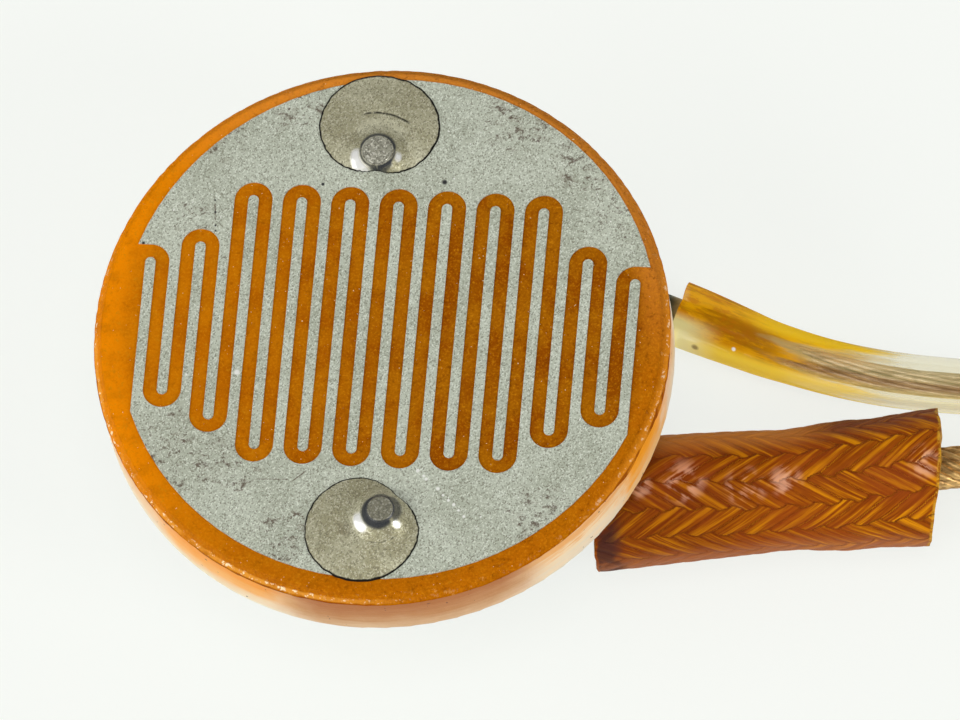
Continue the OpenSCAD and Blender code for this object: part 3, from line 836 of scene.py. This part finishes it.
film = filmMaterial()
ceramic = ceramicMaterial()
printedMetal = printedMetalMaterial()
solder = solderMaterial()
tinnedWire = wireMaterial()
clearPlastic = clearMaterial()
fluxedSolder = fluxMaterial()
tinnedStrands = strandMaterial("tinnedStrands", (0.90, 0.72, 0.50), (0.44, 0.31, 0.19))
copperStrands = strandMaterial("copperStrands", (0.90, 0.57, 0.20), (0.34, 0.18, 0.05))
varnishedBraid = braidMaterial()
print("materials made")

# Pieces that keep the shape of their solid.
dressed = {"ceramic_substrate": ceramic, "upper_electrode": printedMetal, "lower_electrode": printedMetal,
           "upper_splice": fluxedSolder, "lower_splice": fluxedSolder}
for node, material in dressed.items():
    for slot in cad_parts[node].material_slots:
        slot.material = material

# Film skin: a section turned about Z: flat face, bevel with softened corners, ragged end on the wall.
# Drips are (degrees round the disc, degrees wide, strength).
filmLook = {"faceR": 5.822, "bevelEnd": (6.004, 0.625), "soften": 0.045, "wallEnd": 0.585, "ragged": 0.012,
            "drips": 0.25, "dripsAt": [(350, 8, 1.0), (333, 4, 0.7)], "wave": 0.004, "columns": 720}


def softCorner(before, corner, after, count):  # quadratic curve that touches both sides of a corner
    t = np.linspace(0, 1, count)[:, None]
    return (1 - t) ** 2 * np.array(before) + 2 * t * (1 - t) * np.array(corner) + t * t * np.array(after)


def makeFilm(look):
    columns = look["columns"]
    angle = np.arange(columns) * turn / columns
    high = np.array([look["faceR"], filmTop])
    low = np.array(look["bevelEnd"])
    slope = unit(low - high)
    soft = look["soften"]
    flat = np.array([[r, filmTop] for r in (0.05, 1.5, 3.0, 4.5, 5.2, 5.5, 5.7)])
    upper = softCorner(high - [soft, 0], high, high + soft * slope, 9)
    lower = softCorner(low - soft * slope, low, low - [0, soft / 2], 6)
    bevel = upper[-1] + np.linspace(0, 1, 7)[1:-1, None] * (lower[0] - upper[-1])
    section = np.concatenate([flat, upper, bevel, lower])
    drip = 0
    for at, wide, strong in look["dripsAt"]:
        drip = drip + strong * np.exp(-((angle - radians(at)) / radians(wide)) ** 2)
    wallEnd = look["wallEnd"] + look["ragged"] * ripple(angle, 0, 11, 60, 0) - look["drips"] * drip
    share = np.linspace(0, 1, 7)[1:, None]
    wallZ = lower[-1, 1] + share * (wallEnd[None, :] - lower[-1, 1])
    outR = np.concatenate([np.repeat(section[:, :1], columns, 1), np.full_like(wallZ, low[0] + 0.003)])
    outZ = np.concatenate([np.repeat(section[:, 1:], columns, 1), wallZ])
    uneven = ripple(angle[None, :], outZ * 9, 5, 150, 5.0, 30)
    onEdge = smoothStep(outR, look["faceR"] - 0.03, look["faceR"] + 0.05)
    sunk = look["wave"] * onEdge * np.minimum(uneven, 0.3)
    outR = outR + sunk
    outZ = outZ + 0.5 * sunk
    backR = np.concatenate([np.full((1, columns), discR - 0.03), np.full((1, columns), discR - 0.3)])
    backZ = np.concatenate([wallEnd[None, :] + 0.01, np.full((1, columns), ceramicTop - 0.01)])
    allR = np.concatenate([outR, backR])
    allZ = np.concatenate([outZ, backZ])
    rings = np.stack([allR * np.cos(angle), allR * np.sin(angle), allZ], -1)
    return rodPart(rings, True)


addPiece("filmSkin", [makeFilm(filmLook)], film, ["photoconductive_layer"], 60.0)

# Solder pads: a section from the wire's side out to an uneven shore, carried round the wire.
# A flush lip round the wire's face, a steep skirt, a fillet of height stand * (1 - out / fillet)^1.25,
# and under them a cap of height edge + crown * (1 - share^2), less a crease.
# Patches are (from, to, inner, outer, strength): degrees round the wire and radii.
# Painted light and shade: the patches paint the pads' gleams, dark reflections round the wire, and lighter
# and darker zones.
padLook = {
    "upper": {
        "hole": leads["upperHole"], "tip": leads["upperTip"],
        "reach": [1.01, 1.43, 1.71, 1.82, 1.78, 1.51, 1.07, 0.68, 0.44, 0.345, 0.45, 0.66],
        "edge": 0.045, "crown": 0.09, "shoulder": 0.012, "lip": 0.335, "skin": 0.385, "skirt": 0.05,
        "fillet": 0.25,
        "crease": {"r": 0.955, "from": 46, "to": 118, "deep": 0.015, "wide": 0.026, "dark": 1.0},
        "face": [(0, 360, 0.2, 0.338, 1.0)],
        "polish": [(166, 272, 0.395, 0.60, 1.0), (-30, 8, 0.39, 0.50, 1.0)],
        "soot": [(0, 360, 0.338, 0.378, 0.85), (4, 175, 0.338, 0.43, 0.75), (255, 334, 0.34, 0.44, 0.85)],
        "tone": [(35, 145, 0.52, 0.84, 0.8), (138, 172, 0.55, 0.95, -0.55), (180, 250, 0.62, 0.95, 0.5),
                 (-60, 30, 0.6, 1.0, 0.4), (0, 360, 0.4, 2.0, 0.14)],
    },
    "lower": {
        "hole": leads["lowerHole"], "tip": leads["lowerTip"],
        "reach": [0.72, 0.59, 0.55, 0.7, 0.97, 1.27, 1.54, 1.69, 1.61, 1.41, 1.145, 0.92],
        "edge": 0.05, "crown": 0.1, "shoulder": 0.04, "lip": 0.302, "skin": 0.40, "skirt": 0.1,
        "fillet": 0.27,
        "crease": {"r": 0.62, "from": 245, "to": 310, "deep": 0.006, "wide": 0.012, "dark": 0.6},
        "face": [],
        "polish": [(178, 242, 0.425, 0.60, 1.0), (308, 340, 0.37, 0.51, 1.0)],
        "soot": [(120, 325, 0.25, 0.418, 1.0), (-45, 70, 0.25, 0.44, 0.8), (50, 140, 0.25, 0.37, 0.75)],
        "tone": [(188, 224, 0.68, 0.95, -0.6), (40, 130, 0.38, 0.6, 0.3), (280, 306, 0.42, 0.56, -0.6)],
    },
}


# Each patch is 1 within its sector and radii, with soft edges, and narrows toward the sector's ends.
def patches(specs, angle, out):
    total = np.zeros_like(out)
    for first, last, inner, outer, strength in specs:
        halfArc = radians(last - first) / 2
        apart = np.abs((angle - radians(first) - halfArc + np.pi) % turn - np.pi)
        whole = last - first >= 360
        sector = 1.0 if whole else smoothStep(apart, halfArc, halfArc - min(0.3, halfArc))
        taper = 1.0 if whole else 0.3 + 0.7 * np.sqrt(np.clip(1 - (apart / halfArc) ** 2, 0, 1))
        blend = 0.18 * (outer - inner) + 0.008
        end = inner + (outer - inner) * taper
        band = smoothStep(out, inner - blend, inner + blend) * smoothStep(out, end + blend, end - blend)
        total = total + strength * sector * band
    return np.clip(total, -1, 1)


# Common to both pads: how uneven their shore, edge, crease and top are, in millimetres.
padFinish = {"columns": 360, "ragged": 0.004, "roll": 0.05, "wander": 0.03, "waves": 0.006}


def makePad(look, seed):
    columns = padFinish["columns"]
    angle = np.arange(columns) * turn / columns
    corner = np.arange(-1, 14) * turn / 12
    reach = hermite(corner, np.take(look["reach"], np.arange(-1, 14) % 12), angle)[:, 0]
    reach = reach + padFinish["ragged"] * ripple(angle, 0, seed, 40, 0)
    wireR = leads["wireD"] / 2
    lip = np.minimum(look["lip"], reach - 0.02)
    skin = np.minimum(look["skin"], reach - 0.01)
    share = np.linspace(0, 1, 6)[:, None]
    lipOut = wireR + share * (lip - wireR)
    skirtOut = lip + share[1:] * (skin - lip)
    squeeze = np.clip((reach - skin - 0.006) / look["fillet"], 0.01, 1)
    filletOut = skin + look["fillet"] * squeeze * np.linspace(0, 1, 26)[1:, None]
    shares = [np.linspace(0, 0.97, 40)[1:], np.linspace(0.22, 0.42, 40), [0.985, 0.995, 1.0]]
    near = np.sort(np.concatenate(shares))
    farOut = filletOut[-1] + near[:, None] * (reach - filletOut[-1])
    out = np.concatenate([lipOut, skirtOut, filletOut, farOut])
    shore = np.maximum(reach[None, :] - out, 0)
    rolled = np.sqrt(np.clip(1 - (1 - np.clip(shore / padFinish["roll"], 0, 1)) ** 2, 0, 1))
    dome = look["crown"] * (1 - np.clip(out / reach[None, :], 0, 1) ** 2)
    base = filmTop + 0.01 + look["edge"] * rolled + dome
    topZ = filmTop + look["tip"] - look["shoulder"]
    skirtZ = topZ - look["skirt"] * smoothStep(out, lip, skin)
    stand = topZ - look["skirt"] - base[len(lipOut) + len(skirtOut) - 1]
    fall = np.clip((out - skin) / look["fillet"], 0, 1)
    climbing = base + stand * (1 - fall) ** 1.25 * np.where(out > skin, rolled, 1)
    line = look["crease"]
    middle = radians((line["from"] + line["to"]) / 2)
    halfArc = radians((line["to"] - line["from"]) / 2)
    apart = np.abs((angle - middle + np.pi) % turn - np.pi)
    wander = line["r"] + padFinish["wander"] * np.sin(3 * angle + 1.0)
    crack = np.exp(-((out - wander) / line["wide"]) ** 2) * smoothStep(apart, halfArc, halfArc - 0.2)
    waves = padFinish["waves"] * ripple(angle[None, :], out * 3, seed + 1, 5, 3.0)
    waves = waves * smoothStep(shore, 0.0, 0.1) * smoothStep(out, look["skin"], look["skin"] + 0.3)
    z = np.where(out <= skin, skirtZ, climbing) + waves - line["deep"] * crack
    lowest = np.full(columns, metalTop - 0.02)
    rows = [np.stack([out * np.cos(angle), out * np.sin(angle), z], -1)]
    for edge in (reach, np.full(columns, wireR)):
        rows.append(np.stack([edge * np.cos(angle), edge * np.sin(angle), lowest], -1)[None])
    rings = np.concatenate(rows) + np.array([look["hole"][0], look["hole"][1], 0])
    rise = np.hypot(np.diff(out, axis=0), np.diff(z, axis=0))
    climbed = np.concatenate([np.cumsum(rise[::-1], 0)[::-1], np.zeros((1, columns))])
    hidden = smoothStep(np.sin(angle), -0.2, 0.2)
    toShore = climbed + hidden * (np.minimum(shore + 0.02, climbed) - climbed)
    marks = {"shore": toShore, "crack": line["dark"] * crack}
    for name in ("face", "polish", "soot", "tone"):
        marks[name] = patches(look[name], angle, out)
    below = np.zeros((2, columns))
    marks = {name: np.concatenate([mark, below]).ravel() for name, mark in marks.items()}
    return ringPart(rings, True), marks


for padName, padSeed in (("upper", 21), ("lower", 34)):
    pad, padMarks = makePad(padLook[padName], padSeed)
    addPiece(padName + "SolderPad", [pad], solder, [padName + "_solder_joint"], 60.0, padMarks)


# Lead wires: a round profile carried along each wire's line, its cut end bevelled.
wireLook = {"columns": 48, "faceR": [0.08, 0.16], "faceFall": [0, 0.0002, 0.0004]}


def makeWire(line, shoulder):
    wireR = leads["wireD"] / 2
    shaft = line[line[:, 2] < line[0, 2] - shoulder - 0.02]
    end = np.repeat(line[:1], 5, 0)
    end[:, 2] -= np.array([*wireLook["faceFall"], 0.5 * shoulder, shoulder])
    endR = [*wireLook["faceR"], wireR - shoulder, wireR - 0.5 * shoulder, wireR]
    radius = np.concatenate([endR, np.full(len(shaft), wireR)])
    return rodPart(sweep(np.vstack([end, shaft]), radius, wireLook["columns"]))


for wireName, wirePath in (("upper", upperWire), ("lower", lowerWire)):
    wire = makeWire(wirePath, padLook[wireName]["shoulder"])
    addPiece(wireName + "LeadWire", [wire], tinnedWire, [wireName + "_lead_wire"], 30.0)


# Clear insulation: a tube with a bore, swollen over the joint and cut a little askew.
def makeClear(line, look):
    columns = look["columns"]
    angle = np.arange(columns) * turn / columns
    run = np.linspace(0, lineLength(line), len(line))
    swell = look["swell"] * np.exp(-(run / look["swellRun"]) ** 2)
    uneven = look["uneven"] * ripple(angle[None, :], run[:, None], 8, 3, 2.0)
    outer = leads["clearD"] / 2 + swell[:, None] - look["swell"] * look["drawnIn"] + uneven
    inner = np.full((len(line), columns), leads["clearBoreD"] / 2)
    outside = sweep(line, outer, columns)
    inside = sweep(line, inner, columns)
    skew = (look["inset"] + look["skew"] * np.cos(angle))[:, None] * directions(line)[0][:1]
    outside[0] += skew
    inside[0] += skew
    flow = np.stack(np.broadcast_arrays(run[:, None], np.cos(angle), np.sin(angle)), -1)
    skin = np.repeat([[1.0], [0.0]], len(line), 0) * np.ones(columns)
    marks = {"flow": np.concatenate([flow, flow[::-1]]).reshape(-1, 3), "skin": skin.ravel()}
    return ringPart(np.concatenate([outside, inside[::-1]])), marks


clearPart, clearMarks = makeClear(clearLine, clearLook)
clearTube = addPiece("clearInsulation", [clearPart], clearPlastic,
                     ["clear_insulation"], 50.0, clearMarks)

# Strands: twisted round each lead's middle line. Layers are (how many, distance from the middle).
strandLook = {
    "upper": {"layers": [(1, 0.0), (6, 0.112), (12, 0.222)], "r": 0.056, "lay": 14.0, "columns": 8},
    "lower": {"layers": [(1, 0.0), (6, 0.18), (12, 0.356)], "r": 0.094, "lay": 3.4, "columns": 8},
}


def makeStrands(line, look):
    paths = strandLines(line, look["layers"], look["lay"])
    return [rodPart(sweep(path, look["r"], look["columns"])) for path in paths]


upperStrands = addPiece("upperStrands", makeStrands(upperStrandLine, strandLook["upper"]), tinnedStrands,
                        ["upper_strands"])
lowerStrands = addPiece("lowerStrands", makeStrands(lowerStrandLine, strandLook["lower"]), copperStrands,
                        ["lower_strands"])


# Braided sleeve: two sets of yarns wind opposite ways, each over three and under three of the other.
# radius = tube + soft maximum over both sets of (yarn * (1 - |2d|^2.4) + rise * level),
# where d is the distance from the yarn's middle and level the cos of the place in the band.
def makeSleeve(look):
    columns, rows = look["columns"], look["rows"]
    angle = (np.arange(columns) * turn / columns)[None, :]
    along = np.linspace(0, 1, rows)[:, None]
    low = (1 - np.cos(angle)) / 2
    endAt = look["length"] - look["endInset"] - look["endFall"] * low ** 2 + look["endTilt"] * np.sin(angle)
    endAt = endAt + look["uneven"] * ripple(angle, 0, 3, 12, 0)
    startAt = look["startTilt"] * np.cos(angle) - look["startOut"]
    startAt = startAt + look["uneven"] * ripple(angle, 0, 4, 16, 0)
    run = startAt + along * (endAt - startAt)
    place = angle / turn * look["yarns"] + 0.25 * np.sin(0.9 * run + 1.0)
    level = np.cos(turn * (place - 0.5) / look["over"])
    level = np.tanh(2.2 * level) / np.tanh(2.2)
    lifts = []
    tones = []
    for k, sense in enumerate((1, -1)):
        number = place - sense * run / look["pitch"]
        near = np.round(number)
        off = number - near
        lifts.append(look["yarn"] * (1 - np.abs(2 * off) ** 2.4) + look["rise"] * sense * level)
        tones.append(np.stack([off * 2, run + 3.7 * near, np.full_like(run, 9.0 * k)], -1))
    soft = look["soft"]
    best = soft * np.log(np.exp(lifts[0] / soft) + np.exp(lifts[1] / soft))
    marks = np.where((lifts[0] > lifts[1])[..., None], tones[0], tones[1])
    swapped = smoothStep(np.abs(lifts[0] - lifts[1]), 0.0, 0.024)
    crest = np.clip((best + 0.02) / (look["yarn"] + look["rise"] + 0.02), 0, 1) * (0.6 + 0.4 * swapped)
    cut = smoothStep(run, endAt - 0.12, endAt - 0.02) - low * smoothStep(run, 0.6, 0.0)
    cut = cut + 1.6 * smoothStep(run, startAt + 0.08, startAt)
    width = hermite(look["widthAt"], look["width"], run.ravel()).reshape(run.shape)
    uneven = look["uneven"] * ripple(angle, run, 6, 4, 1.6)
    radius = width / 2 - look["yarn"] - look["rise"] + best + uneven
    inner = width / 2 - look["wall"]
    heading = radians(look["heading"])
    ahead = np.array([np.cos(heading), np.sin(heading), 0])
    side = np.array([-np.sin(heading), np.cos(heading), 0])
    over = np.cross(ahead, side)
    spoke = np.cos(angle)[..., None] * side + np.sin(angle)[..., None] * over
    outside = np.array(look["at"]) + run[..., None] * ahead + radius[..., None] * spoke
    innerRows = np.linspace(rows - 1, 0, 12).astype(int)
    inside = (np.array(look["at"]) + run[..., None] * ahead + inner[..., None] * spoke)[innerRows]
    rings = np.concatenate([outside, inside])
    deep = np.zeros((len(innerRows), columns))
    allMarks = {"crest": np.concatenate([crest, deep + 0.2]).ravel(),
                "side": np.repeat(np.cos(angle), len(rings), 0).ravel(),
                "cut": np.concatenate([cut, deep[:1] + 1.0, deep[2:] - 0.6, deep[:1] + 1.0]).ravel(),
                "yarn": np.concatenate([marks, np.repeat(deep[..., None], 3, -1)]).reshape(-1, 3)}
    return ringPart(rings), allMarks


sleevePart, sleeveMarks = makeSleeve(sleeveLook)
sleeve = addPiece("braidedSleeve", [sleevePart], varnishedBraid,
                  ["braided_sleeve"], 70.0, sleeveMarks)
